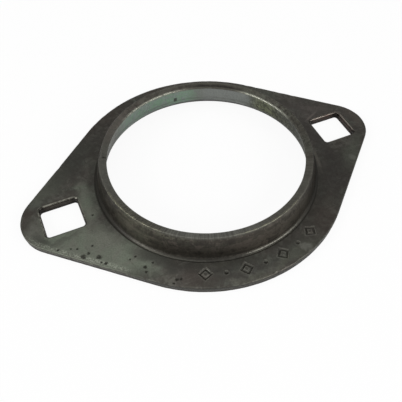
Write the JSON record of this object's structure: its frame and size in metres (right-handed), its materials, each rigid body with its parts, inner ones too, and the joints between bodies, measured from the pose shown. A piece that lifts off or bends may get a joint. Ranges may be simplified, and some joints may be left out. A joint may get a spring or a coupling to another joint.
{
  "type": "pressed steel bearing flange half",
  "caption": "Pressed sheet-steel oval flange half with a spherical bearing seat in a drawn ring and square bolt holes at its ends.",
  "frame": {"origin": "on the flat back face, at the centre of the bore", "axes": "+X through the two bolt holes, +Y across the flange, +Z along the bore axis towards the rim of the drawn ring"},
  "size_m": [0.1134, 0.0842, 0.0102],
  "materials": {
    "pressed_steel": "dark oiled mill finish, bare cut edges, faint brown staining"
  },
  "bodies": {
    "root": {"flangette": "pressed_steel"}
  },
  "joints": []
}
